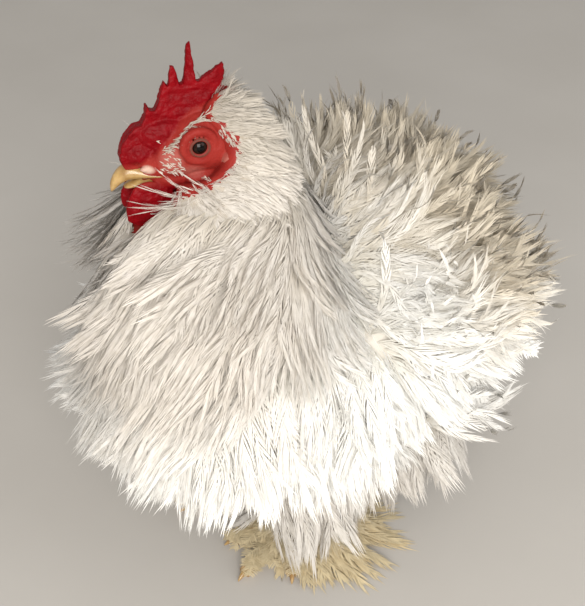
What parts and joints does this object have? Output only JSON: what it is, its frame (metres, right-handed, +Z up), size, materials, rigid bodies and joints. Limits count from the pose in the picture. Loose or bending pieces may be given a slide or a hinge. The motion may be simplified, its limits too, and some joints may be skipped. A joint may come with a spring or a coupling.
{
  "type": "frizzle chicken model",
  "caption": "Still life-size model of a white frizzle bantam cock with curled plumage, a red single comb and feathered feet, standing by itself.",
  "frame": {"origin": "on the floor, under the middle of the whole bird's bounding box", "axes": "-Y is the way the body faces, +X is the bird's left side, +Z is up"},
  "size_m": [0.203, 0.2692, 0.2674],
  "materials": {
    "white_feather": "white curled plumage",
    "red_skin": "bare red skin",
    "horn": "yellow horn",
    "eye_dark": "wet dark eye"
  },
  "bodies": {
    "root": {"beak_lower": "horn", "beak_upper": "horn", "comb": "red_skin", "eye_left": "eye_dark", "eye_right": "eye_dark", "foot_left": "horn", "foot_right": "horn", "head": "red_skin", "leg_left": "white_feather", "leg_right": "white_feather", "lobe_left": "red_skin", "lobe_right": "red_skin", "neck": "white_feather", "tail": "white_feather", "torso": "white_feather", "wattle_left": "red_skin", "wattle_right": "red_skin", "wing_left": "white_feather", "wing_right": "white_feather"}
  },
  "joints": []
}
